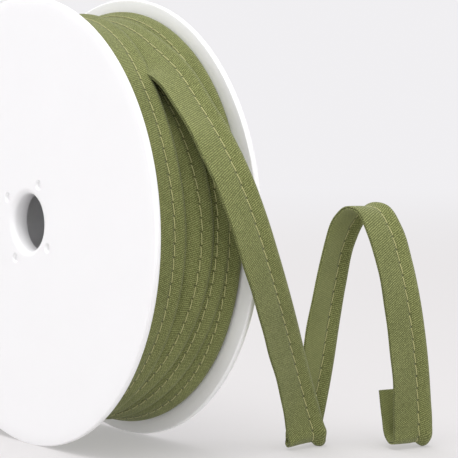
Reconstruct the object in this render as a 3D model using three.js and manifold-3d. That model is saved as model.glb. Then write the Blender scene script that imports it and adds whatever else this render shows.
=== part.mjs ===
// A roll of flanged piping on a moulded two-flange spool, with its loose end standing in a loop
// beside it. Millimetres, +Z up. The spool's axis runs along X: the front flange is at -X and the
// rear flange at +X. The spool stands on the flat spots of its two rims, and the folds of the loose
// end touch the same floor, z = 0. The origin is on that floor, under the middle of the whole thing.

import * as THREE from "three";
import { mergeVertices } from "three/addons/utils/BufferGeometryUtils.js";
import Module from "manifold-3d";

const wasm = await Module();
wasm.setup();

const GAP = 0.3; // between pieces that touch on the real thing

// Spool
const FLANGE_RADIUS = 50;
const FLANGE_THICK = 1.4;
const FLANGE_SPACE = 24.9; // between the inner faces
const RIM_ROUND = 0.5;
const FLAT_SPOT_DEPTH = 0.2; // how much of the rim is flattened where the spool stands
const BORE_RADIUS = 6.4;
const BORE_LIP = 1.3; // rounding from the face into the bore
const COLLAR_WALL = 1.1;
const COLLAR_DEPTH = 2.6; // how far the bore's collar reaches past the inner face
const DIMPLE_RADIUS = 1.1;
const DIMPLE_DEPTH = 0.5;
const DIMPLE_CIRCLE = 9.8;
const DIMPLE_ANGLES = [61, 148, 238, 328]; // degrees from -Y towards +Z
const HUB_RADIUS = 22;
const HUB_WALL = 1.5;
const AXIS_HEIGHT = FLANGE_RADIUS - FLAT_SPOT_DEPTH;

// Piping: a folded strip of cloth with a filler cord sewn into its fold
const TAPE_WIDTH = 10;
const CLOTH = 0.9; // the two layers beside the cord
const CORD_RADIUS = 1.3; // the cord with the cloth round it
const CORD_MIDDLE = TAPE_WIDTH / 2 - CORD_RADIUS; // from the tape's middle line
const STITCH = 1.4; // from the tape's middle line, towards the cord

// Winding
const WOUND_HALF = FLANGE_SPACE / 2 - GAP;
const WOUND_INNER = HUB_RADIUS + GAP;
const LAYER_BELOW = 43.6; // outer radius of the turns under the visible ones
const TAKE_OFF = 32.2; // degrees past the top, where the loose end leaves the roll
const STEP_WIDTH = 0.2; // degrees, the end face of the last turn
const STATIONS_ROUND = 96;
const STATIONS_ACROSS = 33;
const FULL_TURN = 360;

// The top layer, from the rear flange to the front one and back to the middle. wind: degrees wound,
// 0 at the top and 90 at the front, where x, radius are the tape's middle line and tilt is how many
// degrees its cord edge stands up.
const WINDING = [
  { wind: -180, x: 7.0, radius: 43.4, tilt: 8 },
  { wind: -90, x: 7.0, radius: 44.4, tilt: 10 },
  { wind: 0, x: 7.0, radius: 45.1, tilt: 10 },
  { wind: 40, x: 7.0, radius: 44.6, tilt: 10 },
  { wind: 90, x: 7.1, radius: 44.9, tilt: 12 },
  { wind: 135, x: 7.0, radius: 45.6, tilt: 12 },
  { wind: 180, x: 6.2, radius: 45.8, tilt: 12 },
  { wind: 270, x: 5.0, radius: 44.6, tilt: 12 },
  { wind: 360, x: 4.9, radius: 42.7, tilt: 8 },
  { wind: 405, x: 4.8, radius: 42.8, tilt: 8 },
  { wind: 430, x: 4.6, radius: 43.8, tilt: 12 },
  { wind: 450, x: 4.5, radius: 44.5, tilt: 12 },
  { wind: 490, x: 2.4, radius: 44.7, tilt: 12 },
  { wind: 540, x: -0.8, radius: 44.8, tilt: 12 },
  { wind: 630, x: -0.8, radius: 44.0, tilt: 12 },
  { wind: 720, x: -0.5, radius: 42.2, tilt: 8 },
  { wind: 765, x: -0.6, radius: 42.6, tilt: 8 },
  { wind: 790, x: -0.2, radius: 43.9, tilt: 12 },
  { wind: 810, x: 0.4, radius: 44.5, tilt: 12 },
  { wind: 828, x: -0.3, radius: 44.6, tilt: 12 },
  { wind: 846, x: -1.8, radius: 44.6, tilt: 12 },
  { wind: 870, x: -4.4, radius: 44.6, tilt: 10 },
  { wind: 900, x: -5.2, radius: 44.6, tilt: 8 },
  { wind: 990, x: -4.6, radius: 44.6, tilt: 4 },
  { wind: 1080, x: -2.4, radius: 45.5, tilt: 3 },
  { wind: 1107, x: -4.3, radius: 45.2, tilt: 3 },
  { wind: 1126, x: -6.1, radius: 44.7, tilt: 2 },
  { wind: 1150, x: -6.8, radius: 44.6, tilt: 0 },
  { wind: 1170, x: -6.6, radius: 44.6, tilt: 0 },
  { wind: 1220, x: -6.9, radius: 44.6, tilt: 0 },
  { wind: 1260, x: -6.4, radius: 44.8, tilt: 2 },
  { wind: 1310, x: -3.4, radius: 45.6, tilt: 6 },
  { wind: 1350, x: 0.4, radius: 46.0, tilt: 8 },
  { wind: 1400, x: 2.8, radius: 45.8, tilt: 12 },
  { wind: 1440, x: 3.1, radius: 45.3, tilt: 14 },
  { wind: 1480, x: 2.4, radius: 45.8, tilt: 13 },
];

// The loose end, from the roll to its cut end: x, y, z of the tape's middle line, measured from
// under the spool's middle, and the way its width points towards the cord: turn is degrees from +X
// towards +Y, lean is degrees up. flange is how far the flat edge reaches from the middle line,
// less where it is tucked beside the next turn.
const LOOSE_END = [
  { x: 2.4, y: -24.8, z: 88.1, turn: -6, lean: 11, flange: 1.9 },
  { x: 2.2, y: -29.5, z: 85.6, turn: -3, lean: 7, flange: 2.6 },
  { x: 2.2, y: -33.8, z: 82.8, turn: -1, lean: 4, flange: 4.1 },
  { x: 2.5, y: -40.7, z: 76.2, turn: 3, lean: 3, flange: 5 },
  { x: 3.1, y: -47.2, z: 69.0, turn: 5, lean: 6, flange: 5 },
  { x: 4.4, y: -52.0, z: 60.8, turn: 7, lean: 12, flange: 5 },
  { x: 7.0, y: -54.1, z: 51.9, turn: 9, lean: 19, flange: 5 },
  { x: 10.6, y: -53.9, z: 43.0, turn: 9, lean: 26, flange: 5 },
  { x: 15.0, y: -52.0, z: 34.7, turn: 8, lean: 31, flange: 5 },
  { x: 19.9, y: -49.0, z: 26.8, turn: 8, lean: 33, flange: 5 },
  { x: 24.7, y: -46.0, z: 18.8, turn: 10, lean: 31, flange: 5 },
  { x: 28.9, y: -44.0, z: 10.5, turn: 9, lean: 24, flange: 5 },
  { x: 31.1, y: -43.4, z: 5.0, turn: 7, lean: 17, flange: 5 },
  { x: 32.1, y: -43.0, z: 2.4, turn: 6, lean: 6, flange: 5 },
  { x: 32.5, y: -41.6, z: 1.4, turn: 6, lean: 0, flange: 5 },
  { x: 32.8, y: -40.2, z: 2.5, turn: 6, lean: -1, flange: 5 },
  { x: 33.6, y: -40.0, z: 5.0, turn: 6, lean: -5, flange: 5 },
  { x: 34.6, y: -40.4, z: 10.0, turn: 7, lean: -8, flange: 5 },
  { x: 35.6, y: -41.5, z: 18.0, turn: 9, lean: -10, flange: 5 },
  { x: 36.6, y: -42.6, z: 27.5, turn: 11, lean: -10, flange: 5 },
  { x: 38.1, y: -43.4, z: 37.0, turn: 13, lean: -8, flange: 5 },
  { x: 39.3, y: -44.8, z: 45.5, turn: 13, lean: -4, flange: 5 },
  { x: 40.2, y: -47.6, z: 51.3, turn: 9, lean: -3, flange: 5 },
  { x: 40.6, y: -50.6, z: 53.5, turn: 7, lean: -3, flange: 5 },
  { x: 40.9, y: -53.8, z: 53.3, turn: 5, lean: -2, flange: 5 },
  { x: 41.4, y: -57.6, z: 48.8, turn: 4, lean: 3, flange: 5 },
  { x: 42.2, y: -60.0, z: 41.5, turn: 4, lean: 8, flange: 5 },
  { x: 43.5, y: -61.0, z: 33.5, turn: 2, lean: 11, flange: 5 },
  { x: 45.3, y: -60.8, z: 25.0, turn: 0, lean: 13, flange: 5 },
  { x: 47.2, y: -59.8, z: 17.5, turn: -2, lean: 14, flange: 5 },
  { x: 49.0, y: -58.4, z: 10.0, turn: -5, lean: 12, flange: 5 },
  { x: 50.1, y: -57.5, z: 4.8, turn: -7, lean: 8, flange: 5 },
  { x: 50.5, y: -56.9, z: 2.3, turn: -7, lean: 4, flange: 5 },
  { x: 50.7, y: -55.5, z: 1.4, turn: -6, lean: -1, flange: 5 },
  { x: 50.8, y: -54.1, z: 2.4, turn: -6, lean: 1, flange: 5 },
  { x: 51.0, y: -52.5, z: 7.0, turn: -4, lean: 0, flange: 5 },
  { x: 51.2, y: -51.0, z: 12.6, turn: -3, lean: 0, flange: 5 },
];
const STEPS_PER_POINT = 3;
const CORD_SIDES = 5; // corners round the outer half of the cord

const radians = THREE.MathUtils.degToRad;

// A closed body through rows of corners: each row is one outline, all with the same count. A ring
// joins its last row to its first; otherwise both end outlines are filled.
function loft(rows, ring, capOutline) {
  const count = rows[0].length;
  const positions = rows.flat().flatMap((corner) => corner.toArray());
  const index = [];
  const spans = ring ? rows.length : rows.length - 1;
  for (let row = 0; row < spans; row += 1) {
    const next = (row + 1) % rows.length;
    for (let corner = 0; corner < count; corner += 1) {
      const across = (corner + 1) % count;
      const a = row * count + corner;
      const b = row * count + across;
      const c = next * count + across;
      const d = next * count + corner;
      index.push(a, b, c, a, c, d);
    }
  }
  if (!ring) {
    const last = (rows.length - 1) * count;
    for (const [a, b, c] of THREE.ShapeUtils.triangulateShape(capOutline, [])) {
      index.push(a, c, b);
      index.push(last + a, last + b, last + c);
    }
  }
  const geometry = new THREE.BufferGeometry();
  geometry.setAttribute("position", new THREE.Float32BufferAttribute(positions, 3));
  geometry.setIndex(index);
  geometry.computeVertexNormals();
  return geometry;
}

// The value of a column at a place along a table, on a smooth curve through its rows.
function along(table, key, place, column) {
  let row = 0;
  while (row < table.length - 2 && table[row + 1][key] < place) {
    row += 1;
  }
  const [p, q] = [table[row], table[row + 1]];
  const before = table[Math.max(row - 1, 0)];
  const after = table[Math.min(row + 2, table.length - 1)];
  const span = q[key] - p[key];
  const t = THREE.MathUtils.clamp((place - p[key]) / span, 0, 1);
  const leave = (q[column] - before[column]) / (q[key] - before[key]);
  const arrive = (after[column] - p[column]) / (after[key] - p[key]);
  const h = t * t * (3 - 2 * t);
  const curveIn = t * (1 - t) * (1 - t) * span * leave;
  const curveOut = t * t * (1 - t) * span * arrive;
  return p[column] * (1 - h) + q[column] * h + curveIn - curveOut;
}

function solidOf(geometry) {
  const bare = geometry.clone();
  bare.deleteAttribute("normal");
  bare.deleteAttribute("uv");
  const merged = mergeVertices(bare, 1e-4);
  return new wasm.Manifold(new wasm.Mesh({
    numProp: 3,
    vertProperties: new Float32Array(merged.attributes.position.array),
    triVerts: new Uint32Array(merged.index.array),
  }));
}

function geometryOf(solid) {
  const mesh = solid.getMesh();
  const geometry = new THREE.BufferGeometry();
  geometry.setAttribute("position", new THREE.BufferAttribute(mesh.vertProperties, 3));
  geometry.setIndex(new THREE.BufferAttribute(mesh.triVerts, 1));
  geometry.computeVertexNormals();
  return geometry;
}

// A quarter turn of points about a centre, in the half plane of radius and height.
function arc(centreRadius, centreHeight, size, from, to, steps) {
  return Array.from({ length: steps + 1 }, (_, step) => {
    const angle = radians(from + ((to - from) * step) / steps);
    const radius = centreRadius + size * Math.cos(angle);
    return new THREE.Vector2(radius, centreHeight + size * Math.sin(angle));
  });
}

// One flange, with its outer face at height 0 and its collar reaching up, turned onto the X axis.
function flangeGeometry() {
  const collarTop = FLANGE_THICK + COLLAR_DEPTH;
  const collarOuter = BORE_RADIUS + COLLAR_WALL;
  const rim = FLANGE_RADIUS - RIM_ROUND;
  const profile = [
    ...arc(BORE_RADIUS + BORE_LIP, BORE_LIP, BORE_LIP, 180, 270, 4),
    ...arc(rim, RIM_ROUND, RIM_ROUND, -90, 0, 2),
    ...arc(rim, FLANGE_THICK - RIM_ROUND, RIM_ROUND, 0, 90, 2),
    new THREE.Vector2(collarOuter, FLANGE_THICK),
    new THREE.Vector2(collarOuter, collarTop),
    new THREE.Vector2(BORE_RADIUS, collarTop),
  ];
  profile.push(profile[0].clone());
  const plate = new THREE.LatheGeometry(profile, 72);
  plate.rotateZ(-Math.PI / 2);
  let solid = solidOf(plate);
  for (const angle of DIMPLE_ANGLES) {
    const dimple = new THREE.CylinderGeometry(DIMPLE_RADIUS, DIMPLE_RADIUS, 2 * DIMPLE_DEPTH, 12);
    dimple.rotateZ(Math.PI / 2);
    const side = -DIMPLE_CIRCLE * Math.cos(radians(angle));
    dimple.translate(0, side, DIMPLE_CIRCLE * Math.sin(radians(angle)));
    solid = solid.subtract(solidOf(dimple));
  }
  const below = new THREE.BoxGeometry(4 * FLANGE_THICK, FLANGE_RADIUS, FLANGE_RADIUS);
  below.translate(0, 0, -AXIS_HEIGHT - FLANGE_RADIUS / 2);
  return geometryOf(solid.subtract(solidOf(below)));
}

function hubGeometry() {
  const half = FLANGE_SPACE / 2 - GAP;
  const inner = HUB_RADIUS - HUB_WALL;
  const corners = [[inner, -half], [HUB_RADIUS, -half], [HUB_RADIUS, half], [inner, half]];
  const profile = [...corners, corners[0]].map(([r, h]) => new THREE.Vector2(r, h));
  const tube = new THREE.LatheGeometry(profile, 48);
  tube.rotateZ(-Math.PI / 2);
  return tube;
}

// How far the outer face of a turn stands above its middle line, at a distance across the tape:
// flat up to the seam, then straight up to the cord and round it.
function turnHeight(across, tilt) {
  const shoulder = CORD_RADIUS * Math.SQRT1_2;
  if (across < STITCH) {
    return CLOTH / 2 + Math.tan(radians(tilt)) * (across - STITCH);
  }
  if (across < CORD_MIDDLE - shoulder) {
    return THREE.MathUtils.mapLinear(across, STITCH, CORD_MIDDLE - shoulder, CLOTH / 2, shoulder);
  }
  return Math.sqrt(Math.max(CORD_RADIUS ** 2 - (across - CORD_MIDDLE) ** 2, 0));
}

// Outer radius of the winding at a place across the spool and degrees past the top.
function windingRadius(x, degrees) {
  let radius = LAYER_BELOW;
  for (let wind = degrees - FULL_TURN; wind <= 4 * FULL_TURN + TAKE_OFF; wind += FULL_TURN) {
    const across = x - along(WINDING, "wind", wind, "x");
    if (wind >= WINDING[0].wind && Math.abs(across) <= TAPE_WIDTH / 2) {
      const tilt = along(WINDING, "wind", wind, "tilt");
      const middle = along(WINDING, "wind", wind, "radius");
      radius = Math.max(radius, middle + turnHeight(across, tilt));
    }
  }
  return radius;
}

function windingGeometry() {
  const step = FULL_TURN / STATIONS_ROUND;
  const angles = [];
  for (let angle = 0; angle < FULL_TURN; angle += step) {
    if (Math.abs(angle - TAKE_OFF) > step / 2) {
      angles.push(angle);
    } else {
      angles.push(TAKE_OFF - STEP_WIDTH, TAKE_OFF + STEP_WIDTH);
    }
  }
  const rows = angles.map((angle) => {
    const forward = -Math.sin(radians(angle));
    const up = Math.cos(radians(angle));
    const place = (x, radius) => new THREE.Vector3(x, radius * forward, radius * up);
    const row = [place(-WOUND_HALF, WOUND_INNER), place(WOUND_HALF, WOUND_INNER)];
    for (let column = 0; column < STATIONS_ACROSS; column += 1) {
      const x = WOUND_HALF * (1 - (2 * column) / (STATIONS_ACROSS - 1));
      row.push(place(x, windingRadius(x, angle)));
    }
    return row;
  });
  return loft(rows, true);
}

// The tape's outline seen end on: first across, towards the cord, and then out of its outer face.
function tapeOutline(flange) {
  const half = CLOTH / 2;
  const round = Array.from({ length: CORD_SIDES + 2 }, (_, step) => {
    const angle = radians(-135 + (270 * step) / (CORD_SIDES + 1));
    return [CORD_MIDDLE + CORD_RADIUS * Math.cos(angle), CORD_RADIUS * Math.sin(angle)];
  });
  return [[-flange, half], [-flange, -half], [STITCH, -half], ...round, [STITCH, half]];
}

function looseEndGeometry() {
  const route = new THREE.CatmullRomCurve3(
    LOOSE_END.map(({ x, y, z }) => new THREE.Vector3(x, y, z)), false, "centripetal");
  const steps = (LOOSE_END.length - 1) * STEPS_PER_POINT;
  const table = LOOSE_END.map((row, place) => ({ ...row, place }));
  const rows = [];
  for (let step = 0; step <= steps; step += 1) {
    const place = step / STEPS_PER_POINT;
    const share = step / steps;
    const middle = route.getPoint(share);
    const forward = route.getTangent(share);
    const turn = radians(along(table, "place", place, "turn"));
    const lean = radians(along(table, "place", place, "lean"));
    const width = new THREE.Vector3(
      Math.cos(lean) * Math.cos(turn), Math.cos(lean) * Math.sin(turn), Math.sin(lean));
    width.addScaledVector(forward, -width.dot(forward)).normalize();
    const out = new THREE.Vector3().crossVectors(forward, width);
    const outline = tapeOutline(along(table, "place", place, "flange"));
    rows.push(outline.map(([across, proud]) => middle.clone()
      .addScaledVector(width, across)
      .addScaledVector(out, proud)));
  }
  const cap = tapeOutline(TAPE_WIDTH / 2).map(([across, proud]) => new THREE.Vector2(across, proud));
  return loft(rows, false, cap);
}

const plastic = new THREE.MeshStandardMaterial({ color: 0xf4f4f6, roughness: 0.45, metalness: 0 });
const cloth = new THREE.MeshStandardMaterial({ color: 0x7b7f4a, roughness: 0.9, metalness: 0 });

function named(name, geometry, material, x, z) {
  const mesh = new THREE.Mesh(geometry, material);
  mesh.name = name;
  mesh.position.set(x, 0, z);
  return mesh;
}

const outerFace = FLANGE_SPACE / 2 + FLANGE_THICK;
const frontFlange = named("front_flange", flangeGeometry(), plastic, -outerFace, AXIS_HEIGHT);
const rearFlange = named("rear_flange", flangeGeometry(), plastic, outerFace, AXIS_HEIGHT);
rearFlange.rotation.z = Math.PI;

const roll = new THREE.Group();
roll.add(
  frontFlange,
  rearFlange,
  named("hub", hubGeometry(), plastic, 0, AXIS_HEIGHT),
  named("wound_piping", windingGeometry(), cloth, 0, AXIS_HEIGHT),
  named("loose_end", looseEndGeometry(), cloth, 0, 0),
);

// The origin goes under the middle of the whole thing.
const extent = new THREE.Box3().setFromObject(roll, true);
const middle = extent.getCenter(new THREE.Vector3());
roll.position.set(-middle.x, -middle.y, 0);

export default roll;
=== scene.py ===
from math import cos, pi, radians, sin

import bpy
import numpy as np
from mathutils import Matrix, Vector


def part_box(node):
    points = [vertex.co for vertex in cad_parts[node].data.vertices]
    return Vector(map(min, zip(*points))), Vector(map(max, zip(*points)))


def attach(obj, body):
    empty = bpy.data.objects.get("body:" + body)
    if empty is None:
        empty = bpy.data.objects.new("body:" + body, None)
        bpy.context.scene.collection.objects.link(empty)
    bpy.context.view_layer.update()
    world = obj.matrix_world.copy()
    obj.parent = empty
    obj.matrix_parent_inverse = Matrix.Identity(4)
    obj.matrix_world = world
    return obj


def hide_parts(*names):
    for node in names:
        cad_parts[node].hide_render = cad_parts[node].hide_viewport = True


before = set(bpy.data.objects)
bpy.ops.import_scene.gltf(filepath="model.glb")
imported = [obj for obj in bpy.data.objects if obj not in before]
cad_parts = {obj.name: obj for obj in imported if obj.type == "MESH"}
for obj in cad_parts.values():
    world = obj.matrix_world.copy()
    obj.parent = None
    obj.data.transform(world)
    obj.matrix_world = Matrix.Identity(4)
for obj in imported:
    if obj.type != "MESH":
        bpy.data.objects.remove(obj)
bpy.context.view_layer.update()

# The camera: a long lens about half a metre away, a little above the spool's middle, looking past
# the front flange at the loose end. Its place is measured from under the middle of the spool, whose
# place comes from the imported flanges.
front_low, front_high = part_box("front_flange")
rear_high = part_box("rear_flange")[1]
MIDDLE_X = (front_low.x + rear_high.x) / 2
AXIS_Y = (front_low.y + front_high.y) / 2
FLANGE_RADIUS = (front_high.y - front_low.y) / 2
AXIS_Z = front_high.z - FLANGE_RADIUS
CAMERA_PLACE = (-0.25335, -0.3906, 0.0836)
CAMERA_TURN = 0.6485
CAMERA_DOWN = 0.0772
camera_data = bpy.data.cameras.new("camera")
camera_data.sensor_width = 36
camera_data.lens = 161.2
camera = bpy.data.objects.new("camera", camera_data)
camera.location = (MIDDLE_X + CAMERA_PLACE[0], AXIS_Y + CAMERA_PLACE[1], CAMERA_PLACE[2])
camera.rotation_euler = (pi / 2 - CAMERA_DOWN, 0, -CAMERA_TURN)
bpy.context.scene.collection.objects.link(camera)
bpy.context.scene.camera = camera

# The spool: two flanges moulded in white polystyrene, 1.4 mm thick, each with a rounded rim, a bore
# with a rounded lip, a short collar behind it, and four shallow dimples that the ejector pins left.
# They are pressed on the ends of a plain drum.
MM = 0.001
FLANGE_THICK = 1.4
RIM_ROUND = 0.35
BORE_RADIUS = 6.4
BORE_LIP = 1.3
COLLAR_OUTER = 7.5
COLLAR_DEPTH = 4.0
DIMPLE_CIRCLE = 9.8
DIMPLE_RADIUS = 1.1
DIMPLE_DEPTH = 0.7
DIMPLE_ANGLES = (61, 148, 238, 328)
SHARP = 60


class Socket:
    """A shader socket that is written as a number: sums and products on it add Math nodes."""

    def __init__(self, tree, socket=None):
        self.tree = tree
        self.socket = socket

    def node(self, kind, settings, inputs, output=0):
        """Adds a node: first its settings, then the values or links of its sockets."""
        new = self.tree.nodes.new("ShaderNode" + kind)
        for name, value in settings.items():
            if name == "stops":
                for stop, (place, colour) in zip(new.color_ramp.elements, value):
                    stop.position = place
                    stop.color = (*colour, 1)
            else:
                setattr(new, name, value)
        for name, value in inputs.items():
            if isinstance(value, Socket):
                self.tree.links.new(value.socket, new.inputs[name])
            else:
                new.inputs[name].default_value = value
        return Socket(self.tree, new.outputs[output])

    def maths(self, operation, *values):
        return self.node("Math", {"operation": operation}, dict(enumerate(values)))

    def __add__(self, other):
        return self.maths("ADD", self, other)

    __radd__ = __add__

    def __sub__(self, other):
        return self.maths("SUBTRACT", self, other)

    def __rsub__(self, other):
        return self.maths("SUBTRACT", other, self)

    def __mul__(self, other):
        return self.maths("MULTIPLY", self, other)

    __rmul__ = __mul__

    def __truediv__(self, other):
        return self.maths("DIVIDE", self, other)

    def smooth(self, low, high):
        """0 below low, 1 above high, and a smooth step between them."""
        inputs = {"Value": self, "From Min": low, "From Max": high}
        return self.node("MapRange", {"interpolation_type": "SMOOTHSTEP"}, inputs)

    def blend(self, low, high):
        """The colour low where this is 0 and high where it is 1."""
        return self.node("Mix", {"data_type": "RGBA"}, {0: self, 6: low, 7: high}, 2)

    def into(self, name):
        """Links this to a socket of the material's own shader."""
        shader = self.tree.nodes["Principled BSDF"]
        self.tree.links.new(self.socket, shader.inputs[name])


def new_look(name, **constants):
    """A material with these constants on its shader's own sockets, and a start for its nodes."""
    look = bpy.data.materials.new(name)
    look.use_nodes = True
    shader = look.node_tree.nodes["Principled BSDF"]
    for socket, value in constants.items():
        shader.inputs[socket.replace("_", " ")].default_value = value
    return look, Socket(look.node_tree)


def surface(name, points, look, ring=False, tube=False, ends=False, flip=False, uv=None):
    """A mesh through a grid of points, with one face for each square of neighbours. ring joins the
    last row to the first, tube the last column to the first, and ends fills the two end rows. flip
    turns the faces over, and uv is the pair of values along the rows and across the columns. Faces
    that meet at more than SHARP degrees keep a sharp edge, and all others are smooth."""
    rows, columns = points.shape[:2]
    row, column = np.meshgrid(
        np.arange(rows if ring else rows - 1),
        np.arange(columns if tube else columns - 1), indexing="ij")
    rows_of = np.stack([row, row, row + 1, row + 1], -1)
    columns_of = np.stack([column, column + 1, column + 1, column], -1)
    if flip:
        rows_of, columns_of = rows_of[..., ::-1], columns_of[..., ::-1]
    corners = (rows_of % rows) * columns + columns_of % columns
    faces = corners.reshape(-1, 4).tolist()
    if ends:
        first = np.arange(columns)
        last = first + (rows - 1) * columns
        faces += [first[::-1].tolist(), last.tolist()]
    mesh = bpy.data.meshes.new(name)
    mesh.from_pydata(points.reshape(-1, 3).tolist(), [], faces)
    if uv is not None:
        along, across = uv
        places = np.stack([along[rows_of], across[columns_of]], -1).reshape(-1, 2)
        if ends:
            low = np.stack([np.full(columns, along[0]), across[:columns][::-1]], -1)
            high = np.stack([np.full(columns, along[-1]), across[:columns]], -1)
            places = np.concatenate([places, low, high])
        layer = mesh.uv_layers.new(name="tape")
        layer.data.foreach_set("uv", places.ravel())
    mesh.polygons.foreach_set("use_smooth", np.ones(len(mesh.polygons), bool))
    mesh.set_sharp_from_angle(angle=radians(SHARP))
    mesh.materials.append(look)
    piece = bpy.data.objects.new(name, mesh)
    bpy.context.scene.collection.objects.link(piece)
    return piece


plastic, start = new_look("white_plastic", Roughness=0.34, IOR=1.5, Subsurface_Weight=0.4,
                          Subsurface_Radius=(0.004, 0.004, 0.004))
place = start.node("TexCoord", {}, {}, "Object")
flow = start.node("TexNoise", {}, {"Vector": place, "Scale": 60, "Detail": 4, "Roughness": 0.6})
grain = start.node("TexNoise", {}, {"Vector": place, "Scale": 1800, "Detail": 2})
flow.blend((0.93, 0.93, 0.935, 1), (0.95, 0.95, 0.955, 1)).into("Base Color")
(0.28 + flow * 0.14).into("Roughness")
orange_peel = flow * 0.7 + grain * 0.3
start.node("Bump", {}, {"Strength": 0.06, "Distance": 0.0002, "Height": orange_peel}).into("Normal")


def flange_profile():
    """Radius and depth from the outer face, once round the moulding's section: the lip's quarter
    circle, the outer face, the rim's half circle, the inner face and the collar."""
    quarter = np.radians(np.linspace(0, 90, 9))
    half = np.radians(np.linspace(-90, 90, 13))
    lip = [BORE_RADIUS + BORE_LIP * (1 - np.cos(quarter)), BORE_LIP * (1 - np.sin(quarter))]
    face = np.concatenate([[8.1], np.arange(8.5, 11.21, 0.13), [12, 15, 20, 28, 36, 43, 47.5]])
    rim = FLANGE_RADIUS / MM - RIM_ROUND
    edge = [rim + RIM_ROUND * np.cos(half), FLANGE_THICK / 2 * (1 + np.sin(half))]
    inside = np.array([47.5, 43, 36, 28, 23, 20, 14, 9, COLLAR_OUTER + 0.5, COLLAR_OUTER])
    inside_depth = np.full(10, FLANGE_THICK)
    collar = np.array([[COLLAR_OUTER, FLANGE_THICK + 0.5], [COLLAR_OUTER, COLLAR_DEPTH - 0.2],
                       [COLLAR_OUTER - 0.2, COLLAR_DEPTH], [BORE_RADIUS + 0.2, COLLAR_DEPTH],
                       [BORE_RADIUS, COLLAR_DEPTH - 0.2], [BORE_RADIUS, BORE_LIP + 0.5]])
    radius = np.concatenate([lip[0], face, edge[0], inside, collar[:, 0]])
    depth = np.concatenate([lip[1], 0 * face, edge[1], inside_depth, collar[:, 1]])
    return radius, depth


def flange_points(outer_x, inward):
    """The section carried round the axis. Each dimple is a smooth dip in the outer face, deepest at
    its middle, and the rim is cut level where the spool stands."""
    radius, depth = flange_profile()
    angle = np.radians(np.arange(0, 360, 1))[:, None]
    side = -radius * np.cos(angle)
    up = radius * np.sin(angle)
    dip = np.zeros_like(side)
    for turn in np.radians(DIMPLE_ANGLES):
        away = np.hypot(side + DIMPLE_CIRCLE * cos(turn), up - DIMPLE_CIRCLE * sin(turn))
        dip = np.maximum(dip, np.clip((DIMPLE_RADIUS - away) / 0.3, 0, 1))
    sunk = np.where(depth < 0.01, DIMPLE_DEPTH * dip * dip * (3 - 2 * dip), 0)
    x = outer_x + inward * MM * (depth + sunk)
    z = np.maximum(AXIS_Z + MM * up, 0)
    return np.stack([x, AXIS_Y + MM * side, z], -1)


front_flange = surface("front_flange_moulding", flange_points(front_low.x, 1), plastic,
                       ring=True, tube=True, flip=True)
rear_flange = surface("rear_flange_moulding", flange_points(rear_high.x, -1), plastic,
                      ring=True, tube=True)
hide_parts("front_flange")
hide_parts("rear_flange")
for piece in (front_flange, rear_flange):
    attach(piece, "root")
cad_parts["hub"].data.materials.clear()
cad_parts["hub"].data.materials.append(plastic)

# The piping: a strip of olive twill folded lengthwise round a filler cord and sewn close beside it.
# It is one strip, 10 mm wide, wound on the drum from the rear flange to the front one and back, and
# then off the roll. Its course and its frames are worked out once for all of it.
TAPE_HALF = 5.0
SEAM_HALF = 0.26
CORD_RADIUS = 1.3
CORD_MIDDLE = 3.7
SEAM = 1.4
STITCH_LENGTH = 2.9
RIB_PITCH = 0.44
RIB_ANGLE = 68
FLOAT_PITCH = 0.40
FLOAT_STAGGER = 0.34
WOUND_SPACING = 0.8
LOOSE_SPACING = 0.36

# The course on the roll. wind is degrees wound past the top, and x and radius are the strip's middle
# line. bend is how far the flat part hangs down from the seam, under the turn beside it, and lift is
# how far the whole strip is rolled with its cord up, both in degrees.
WOUND = np.array([
    # wind, x, radius, bend, lift
    (-180, 7.0, 43.4, 22, 0),
    (-90, 7.0, 44.4, 24, 0),
    (0, 7.4, 45.8, 40, 0),
    (50, 7.4, 45.6, 40, 0),
    (90, 7.3, 44.9, 52, -6),
    (135, 7.2, 45.6, 52, -6),
    (180, 6.2, 45.8, 44, -4),
    (270, 5.0, 44.6, 24, 0),
    (360, 4.9, 42.7, 20, 0),
    (405, 4.8, 42.8, 30, -6),
    (430, 4.6, 43.8, 56, -10),
    (450, 4.5, 44.5, 62, -10),
    (490, 2.4, 44.7, 60, -10),
    (540, -0.8, 44.8, 48, -6),
    (630, -0.8, 44.0, 24, 0),
    (720, -0.5, 42.2, 16, 0),
    (765, -0.6, 42.6, 20, -6),
    (790, -0.2, 43.9, 38, -12),
    (810, 0.4, 44.5, 44, -14),
    (828, -0.3, 44.6, 46, -14),
    (846, -1.8, 44.6, 50, -14),
    (870, -4.4, 44.6, 44, -12),
    (900, -5.2, 44.6, 26, -6),
    (990, -4.6, 44.6, 12, 0),
    (1080, -2.4, 45.5, 7, -4),
    (1107, -4.3, 45.2, 13, -10),
    (1126, -6.1, 44.8, 18, -16),
    (1150, -6.8, 44.6, 18, -18),
    (1170, -6.6, 44.6, 18, -18),
    (1220, -6.9, 44.6, 20, -16),
    (1260, -6.4, 44.8, 12, -6),
    (1310, -3.4, 45.6, 8, 0),
    (1350, 0.4, 46.0, 12, 0),
    (1400, 2.5, 45.8, 26, -12),
    (1425, 2.7, 45.4, 32, -16),
    (1440, 2.6, 45.3, 32, -14),
    (1452, 2.5, 45.3, 30, -9),
    (1464, 2.4, 45.4, 28, -3),
])

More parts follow.
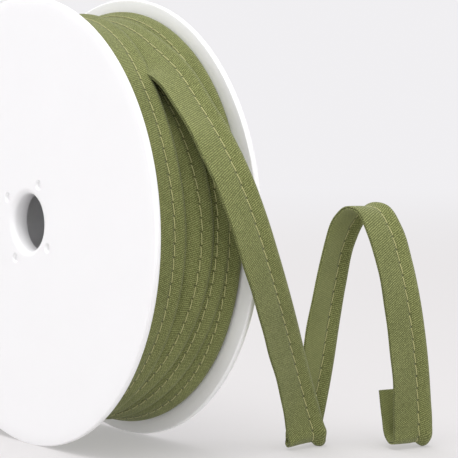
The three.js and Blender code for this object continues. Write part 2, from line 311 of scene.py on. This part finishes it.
# The course of the loose end: x, y, z of its middle line from under the spool's middle. turn and
# lean point its width towards the cord, in degrees from +X towards +Y and up. bend is as above.
LOOSE = np.array([
    # x, y, z, turn, lean, bend
    (2.3, -24.8, 88.1, -2, 2, 27),
    (2.2, -29.5, 85.6, -2, 5, 20),
    (2.2, -33.8, 82.8, -1, 4, 6),
    (2.5, -40.7, 76.2, 3, 3, 0),
    (3.1, -47.2, 69.0, 5, 6, 0),
    (4.4, -52.0, 60.8, 7, 12, 0),
    (7.0, -54.1, 51.9, 9, 19, 0),
    (10.6, -53.9, 43.0, 9, 26, 0),
    (15.0, -52.0, 34.7, 8, 31, 0),
    (19.9, -49.0, 26.8, 8, 33, 0),
    (24.7, -46.0, 18.8, 10, 31, 0),
    (28.9, -44.0, 10.5, 9, 24, 3),
    (31.1, -43.4, 5.0, 7, 17, 8),
    (32.1, -43.0, 2.4, 6, 6, 6),
    (32.5, -41.6, 1.4, 6, 0, 0),
    (32.8, -40.2, 2.5, 6, -1, 6),
    (33.6, -40.0, 5.0, 6, -5, 9),
    (34.6, -40.4, 10.0, 7, -8, 4),
    (35.6, -41.5, 18.0, 9, -10, 0),
    (36.6, -42.6, 27.5, 11, -10, 0),
    (38.1, -43.4, 37.0, 13, -8, 0),
    (39.3, -44.8, 45.5, 13, -4, 0),
    (40.2, -47.6, 51.3, 9, -3, 0),
    (40.6, -50.6, 53.5, 7, -3, 0),
    (40.9, -53.8, 53.3, 5, -2, 0),
    (41.4, -57.6, 48.8, 4, 3, 0),
    (42.2, -60.0, 41.5, 4, 8, 0),
    (43.5, -61.0, 33.5, 2, 11, 0),
    (45.3, -60.8, 25.0, 0, 13, 0),
    (47.2, -59.8, 17.5, -2, 14, 0),
    (49.0, -58.4, 10.0, -5, 12, 0),
    (50.1, -57.5, 4.8, -7, 8, 0),
    (50.5, -56.9, 2.3, -7, 4, 0),
    (50.7, -55.5, 1.4, -6, -1, 0),
    (50.8, -54.1, 2.4, -6, 1, 0),
    (51.0, -52.5, 7.0, -4, 0, 0),
    (51.2, -51.0, 12.6, -3, 0, 0),
])


def through(knots, values, places):
    """Values at places between the knots, on cubic curves that pass through each knot's value with
    the slope of the parabola through it and its two neighbours."""
    slopes = np.gradient(values, knots, axis=0)
    low = np.clip(np.searchsorted(knots, places, side="right") - 1, 0, len(knots) - 2)
    span = (knots[low + 1] - knots[low])[:, None]
    t = (places - knots[low])[:, None] / span
    rise = t * t * (3 - 2 * t)
    leave = t * (1 - t) ** 2 * span * slopes[low]
    arrive = t * t * (1 - t) * span * slopes[low + 1]
    return values[low] * (1 - rise) + values[low + 1] * rise + leave - arrive


def unit(vectors):
    """Each vector divided by its own length."""
    return vectors / np.linalg.norm(vectors, axis=1, keepdims=True)


def wound_stations():
    """Middle, width and bend of the strip every 6 degrees of the winding: the middle goes round the
    axis at its radius, and the width lies along X, rolled outwards by the lift."""
    wind = np.append(np.arange(WOUND[0, 0], WOUND[-1, 0], 6), WOUND[-1, 0])
    x, radius, bend, lift = through(WOUND[:, 0], WOUND[:, 1:], wind).T
    forward, up = -np.sin(np.radians(wind)), np.cos(np.radians(wind))
    middle = np.stack([x, radius * forward, AXIS_Z / MM + radius * up], -1)
    roll = np.radians(lift)
    width = np.stack([np.cos(roll), np.sin(roll) * forward, np.sin(roll) * up], -1)
    return np.hstack([middle, width, bend[:, None]])


def loose_stations():
    """Middle, width and bend at each row of the loose end, the width set by its turn and lean."""
    turn, lean = np.radians(LOOSE[:, 3]), np.radians(LOOSE[:, 4])
    width = np.stack([np.cos(lean) * np.cos(turn), np.cos(lean) * np.sin(turn), np.sin(lean)], -1)
    return np.hstack([LOOSE[:, :3], width, LOOSE[:, 5:]])


stations = np.vstack([wound_stations(), loose_stations()])
station_place = np.append(0, np.cumsum(np.linalg.norm(np.diff(stations[:, :3], axis=0), axis=1)))
LIFT_OFF = station_place[-len(LOOSE)]
END = station_place[-1]


def strip_frames(places):
    """Middle, width, outward direction and bend at places along the strip. The width is squared to
    the run, and outward is the run crossed with the width."""
    values = through(station_place, stations, places)
    run = unit(through(station_place, stations, places + 0.02)[:, :3] - values[:, :3])
    run[places > END - 0.02] = run[places <= END - 0.02][-1]
    width = unit(values[:, 3:6] - (values[:, 3:6] * run).sum(1, keepdims=True) * run)
    return values[:, :3], width, np.cross(run, width), np.radians(values[:, 6])


def strip_section():
    """The strip seen end on, counter-clockwise from the inner face's raw edge: flat cloth, the
    seam's groove, the cord's circle, the outer face back, and the slit between the raw edges."""
    flat = np.array([-TAPE_HALF, -4.2, -3.2, -2.2, -1.2, -0.3, 0.4, 0.9, 1.2])
    thick = np.array([0.36, 0.42, 0.43, 0.43, 0.42, 0.41, 0.39, 0.35, 0.30])
    angle = np.radians(np.linspace(-128, 128, 17))
    cord = np.stack([CORD_MIDDLE + CORD_RADIUS * np.cos(angle), CORD_RADIUS * np.sin(angle)], -1)
    low = np.stack([flat, -thick], -1)
    high = np.stack([flat, thick], -1)[::-1]
    rise = np.array([[1.75, 0.32], [2.2, 0.55], [2.6, 0.82]])
    fall = rise[::-1] * (1, -1)
    seam = np.array([[SEAM, SEAM_HALF]])
    slit = np.array([[-5.02, 0.1], [-4.7, 0.0], [-5.02, -0.1]])
    return np.vstack([low, seam * (1, -1), fall[::-1], cord, rise[::-1], seam, high, slit])


def strip_points(places, section):
    """The section set at each place. Its flat part turns down about the seam by the bend, and an
    uneven wave along the strip, the sum of two sines, moves its raw edge in and out by less than
    0.2 mm."""
    middle, width, outward, bend = strip_frames(places)
    across = np.broadcast_to(section[:, 0] - SEAM, (len(places), len(section)))
    proud = np.broadcast_to(section[:, 1], across.shape)
    flat = across < 0
    turn = np.where(flat, bend[:, None], 0)
    wave = 0.10 * np.sin(places / 3.7) + 0.07 * np.sin(places / 1.9 + 1.3)
    proud = proud + np.where(flat, wave[:, None] * (across / 6.4) ** 2, 0)
    side = SEAM + across * np.cos(turn) - proud * np.sin(turn)
    out = across * np.sin(turn) + proud * np.cos(turn)
    points = middle[:, None] + side[..., None] * width[:, None] + out[..., None] * outward[:, None]
    return points * MM + (MIDDLE_X, AXIS_Y, 0)


def across_cloth(section):
    """How far each corner is from the outer seam, measured over the cloth, positive to the cord."""
    closed = np.vstack([section, section[:1]])
    length = np.append(0, np.cumsum(np.linalg.norm(np.diff(closed, axis=0), axis=1)))
    outer_seam = np.flatnonzero((section[:, 0] == SEAM) & (section[:, 1] > 0))[0]
    return length[outer_seam] - length


section = strip_section()
across = across_cloth(section)
INNER_SEAM = across[np.flatnonzero((section[:, 0] == SEAM) & (section[:, 1] < 0))[0]]

twill, start = new_look("olive_twill", Roughness=0.86, Sheen_Weight=0.12, Sheen_Roughness=0.5,
                        Specular_IOR_Level=0.25)
tape = start.node("UVMap", {"uv_map": "tape"}, {})
along_mm = start.node("SeparateXYZ", {}, {"Vector": tape}, 0) * 1000
across_mm = start.node("SeparateXYZ", {}, {"Vector": tape}, 1) * 1000
flat_place = start.node("CombineXYZ", {}, {0: along_mm, 1: across_mm})
wander = start.node("TexNoise", {}, {"Vector": flat_place, "Scale": 0.4, "Detail": 2}) - 0.5
rib_along, rib_across = sin(radians(RIB_ANGLE)), cos(radians(RIB_ANGLE))
rib_place = (along_mm * rib_along + across_mm * rib_across) / RIB_PITCH + wander * 0.7
rib = rib_place.maths("COSINE", rib_place * (2 * pi)) * 0.5 + 0.5
rib_count = rib_place.maths("FLOOR", rib_place + 0.5)
float_place = (along_mm * rib_across - across_mm * rib_along) / FLOAT_PITCH
float_place = float_place + rib_count * FLOAT_STAGGER
floats = float_place.maths("COSINE", float_place * (2 * pi)) * 0.5 + 0.5
yarn = start.node("TexNoise", {}, {"Vector": flat_place, "Scale": 4.2, "Detail": 1,
                                   "Roughness": 0.8})
float_count = float_place.maths("FLOOR", float_place + 0.5)
cell = start.node("CombineXYZ", {}, {0: rib_count, 1: float_count})
single = start.node("TexWhiteNoise", {"noise_dimensions": "2D"}, {"Vector": cell})
inner_face = across_mm.smooth(float(INNER_SEAM), float(INNER_SEAM) + 0.8)
cloud = start.node("TexNoise", {}, {"Vector": flat_place, "Scale": 0.09, "Detail": 3})
weave = rib * (0.4 + floats * 0.6) * (0.55 + single * 0.45) * (1 - inner_face * 0.5)
stitch_place = along_mm / STITCH_LENGTH
from_hole = stitch_place.maths("PINGPONG", stitch_place, 0.5) * STITCH_LENGTH
outer_away = across_mm.maths("ABSOLUTE", across_mm)
inner_away = across_mm.maths("ABSOLUTE", across_mm - float(INNER_SEAM))
seam_away = outer_away.maths("MINIMUM", outer_away, inner_away)
hole_away = start.maths("SQRT", seam_away * seam_away + from_hole * from_hole * 0.6)
hole = 1 - hole_away.smooth(0.08, 0.34)
seam_groove_and_shade = 1 - seam_away.smooth(0.1, 0.7)
speckle = (yarn - 0.5) * (1.8 - inner_face * 1.3)
# The cloth's colour mixes random yarn speckle and mottling with painted shade and light on the
# weave: darker in the hollows between ribs and floats, lighter on their tops. The inner face is
# lighter.
weave_shade_and_tone = weave * 1.05 + speckle + (cloud - 0.5) * 0.3 + inner_face * 0.26 + 0.08
cloth = weave_shade_and_tone.smooth(0.0, 1.0).blend((0.090, 0.102, 0.028, 1), (0.345, 0.370, 0.140, 1))
# Painted shade: the cloth is darker close to both seams, in their groove, and the stitch holes are
# darker still.
cloth = (hole * 0.5 + seam_groove_and_shade * 0.16).blend(cloth, (0.05, 0.055, 0.015, 1))
cloth.into("Base Color")
height = weave * 0.6 + yarn * 0.8 - seam_groove_and_shade * 0.5 - hole * 1.2
start.node("Bump", {}, {"Strength": 0.9, "Distance": 0.00012, "Height": height}).into("Normal")

wound_places = np.arange(0, LIFT_OFF, WOUND_SPACING)
wound_places = np.append(wound_places[:-1], LIFT_OFF)
wound_turns = surface("wound_turns", strip_points(wound_places, section), twill,
                      tube=True, ends=True, uv=(wound_places * MM, across * MM))
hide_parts("wound_piping")
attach(wound_turns, "root")

# The turns under the top ones: the same piping, of which only the outer backs show, deep in the
# grooves and beside the flanges.
LOWER_RADIUS = 41.6
LOWER_INNER = 30.0
LOWER_HALF = 12.1
LOWER_PITCH = 4.05
BACK_SHARE = 0.34


def lower_points():
    """A ring whose outer face is a row of rounded backs, each the arc of a cord, drifting across
    by one pitch a turn."""
    angle = np.radians(np.arange(0, 360, 2))[:, None]
    x = np.linspace(-LOWER_HALF, LOWER_HALF, 145)[None]
    phase = (x / LOWER_PITCH + angle / (2 * pi)) % 1 - 0.5
    back = np.sqrt(np.clip(1 - (phase / BACK_SHARE) ** 2, 0, 1))
    edge = np.clip((LOWER_HALF - np.abs(x)) / 0.5, 0, 1)
    radius = LOWER_RADIUS + 0.9 * back * edge - 0.6 * (1 - edge)
    x = np.concatenate([[-LOWER_HALF, -LOWER_HALF + 0.2], x[0], [LOWER_HALF - 0.2, LOWER_HALF]])
    inner = np.full((len(angle), 2), LOWER_INNER)
    radius = np.hstack([inner, radius, inner])
    side = -radius * np.sin(angle) * MM + AXIS_Y
    up = radius * np.cos(angle) * MM + AXIS_Z
    return np.stack([np.broadcast_to(x * MM + MIDDLE_X, side.shape), side, up], -1)


lower = lower_points()
lower_along = np.arange(0, 361, 2) / 360 * 2 * pi * LOWER_RADIUS * MM
lower_across = np.append(np.linspace(-2.5, 2.5, lower.shape[1]), -2.5) * LOWER_PITCH * MM
lower_turns = surface("lower_turns", lower, twill, ring=True, tube=True, flip=True,
                      uv=(lower_along, lower_across))
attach(lower_turns, "root")

# The loose end: the same strip where it has left the roll. It falls to the floor, folds, rises in
# an arch, falls, folds again and ends cut square. Its cloth is two layers, sewn beside the cord.
loose_places = np.append(np.arange(LIFT_OFF, END - LOOSE_SPACING / 2, LOOSE_SPACING), END)
loose_end = surface("loose_strip", strip_points(loose_places, section), twill,
                    tube=True, ends=True, uv=(loose_places * MM, across * MM))
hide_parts("loose_end")
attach(loose_end, "root")

# The seam: pale yellow sewing thread, one stitch every 2.9 mm. On the outer face each stitch lies
# on the cloth and dives into its hole at both ends, and on the inner face the lower thread does.
THREAD_HALF = 0.1
PLY_PITCH = 0.42
STITCH_PHASES = np.array([0, 0.04, 0.09, 0.15, 0.3, 0.5, 0.7, 0.85, 0.91, 0.96])
STITCH_HEIGHTS = np.array([-0.4, -0.2, 0.0, 0.05, 0.07, 0.08, 0.07, 0.05, 0.0, -0.2])

thread, start = new_look("yellow_thread", Roughness=0.6, Sheen_Weight=0.2, Specular_IOR_Level=0.4)
tape = start.node("UVMap", {"uv_map": "tape"}, {})
thread_along = start.node("SeparateXYZ", {}, {"Vector": tape}, 0) * 1000
thread_round = start.node("SeparateXYZ", {}, {"Vector": tape}, 1) * 1000
ply_place = thread_along / PLY_PITCH + thread_round * 2
ply = ply_place.maths("COSINE", ply_place * (2 * pi)) * 0.5 + 0.5
thread_place = start.node("CombineXYZ", {}, {0: thread_along, 1: thread_round})
fuzz = start.node("TexNoise", {}, {"Vector": thread_place, "Scale": 3, "Detail": 2})
# Painted shade and light on the thread: darker in the grooves of the twist between its plies,
# lighter on the plies, mixed with random fuzz.
shade = (ply * 0.6 + fuzz * 0.4).smooth(0.1, 0.8)
shade.blend((0.33, 0.32, 0.11, 1), (0.64, 0.62, 0.29, 1)).into("Base Color")
start.node("Bump", {}, {"Strength": 0.6, "Distance": 0.00006, "Height": ply}).into("Normal")


def seam_thread(first, last, face):
    """A thin tube along the seam: its middle rises and dives once a stitch, and slants a little
    towards the cord from the start of each stitch to its end."""
    count = np.arange(np.ceil(first / STITCH_LENGTH), np.ceil(last / STITCH_LENGTH))
    places = ((count[:, None] + STITCH_PHASES) * STITCH_LENGTH).ravel()
    rise = np.tile(STITCH_HEIGHTS, len(count))
    slant = 0.13 * (2 * np.tile(STITCH_PHASES, len(count)) - 1)
    slant = slant + 0.05 * np.sin(np.floor(places / STITCH_LENGTH) * 2.3)
    middle, width, outward, _ = strip_frames(places)
    angle = np.radians(np.arange(0, 360, 60))
    side = SEAM + slant[:, None] + THREAD_HALF * np.cos(angle)
    out = face * (SEAM_HALF + rise[:, None]) + 0.8 * THREAD_HALF * np.sin(angle)
    points = middle[:, None] + side[..., None] * width[:, None] + out[..., None] * outward[:, None]
    return points * MM + (MIDDLE_X, AXIS_Y, 0), places


round_the_thread = np.linspace(0, 1, 7)
for name, first, last, face in (
        ("wound_seam", 0, LIFT_OFF, 1),
        ("loose_seam_outer", LIFT_OFF, END - STITCH_LENGTH, 1),
        ("loose_seam_inner", LIFT_OFF, END - STITCH_LENGTH, -1)):
    points, places = seam_thread(first, last, face)
    seam = surface(name, points, thread, tube=True, ends=True,
                   uv=(places * MM, round_the_thread * MM))
    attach(seam, "root")

# The floor: a plain pale table top. Near the spool it glows faintly, painted light that keeps the
# shadows on it pale. Towards its far edge it gives off the same pale light as the white tent round
# it, so that no edge shows.
FLOOR_HALF = 1.5
FLOOR_SPACING = 0.1
# Painted light: the floor's faint glow near the spool, which keeps the shadows on it pale.
SHADOW_LIFT_GLOW = (0.36, 0.355, 0.355, 1)
TENT = (0.875, 0.865, 0.885, 1)
pale, start = new_look("pale_floor", Roughness=0.9, Specular_IOR_Level=0.0, Emission_Strength=1.0)
place = start.node("TexCoord", {}, {}, "Object")
patch = start.node("TexNoise", {}, {"Vector": place, "Scale": 3})
far = start.node("VectorMath", {"operation": "LENGTH"}, {0: place}, "Value").smooth(0.3, 1.0)
near = patch.blend((0.34, 0.33, 0.33, 1), (0.35, 0.34, 0.34, 1))
far.blend(near, (0.0, 0.0, 0.0, 1)).into("Base Color")
far.blend(SHADOW_LIFT_GLOW, TENT).into("Emission Color")


def floor_points():
    """A level square, with a point every FLOOR_SPACING each way."""
    line = np.arange(-FLOOR_HALF, FLOOR_HALF + FLOOR_SPACING / 2, FLOOR_SPACING)
    side, along = np.meshgrid(line, line)
    return np.stack([side, along, np.zeros_like(side)], -1)


table_top = surface("table_top", floor_points(), pale)

# The light: an even pale tent all round, a wide soft lamp overhead, and weaker ones from beside the
# camera and from behind, which reach in between the flanges.
world = bpy.data.worlds.new("tent")
world.use_nodes = True
world.node_tree.nodes["Background"].inputs["Color"].default_value = TENT
world.node_tree.nodes["Background"].inputs["Strength"].default_value = 1.0
bpy.context.scene.world = world
for name, place, size, power, aim in (
        ("overhead", (-0.3, -0.3, 1.15), 0.7, 8.5, (0.0, 0.0, 0)),
        ("by_the_camera", (-0.45, -0.95, 0.35), 0.5, 1.0, (0, 0, 0.03)),
        ("behind", (0.2, 0.9, 0.3), 0.5, 2, (0, 0, 0.02))):
    lamp = bpy.data.lights.new(name, "AREA")
    lamp.size = size
    lamp.energy = power
    holder = bpy.data.objects.new(name, lamp)
    away = np.array(place) - np.array(aim)
    level = np.hypot(away[0], away[1])
    holder.location = place
    holder.rotation_euler = (np.arctan2(level, away[2]), 0, np.arctan2(away[0], -away[1]))
    bpy.context.scene.collection.objects.link(holder)
bpy.context.scene.view_settings.view_transform = "Standard"
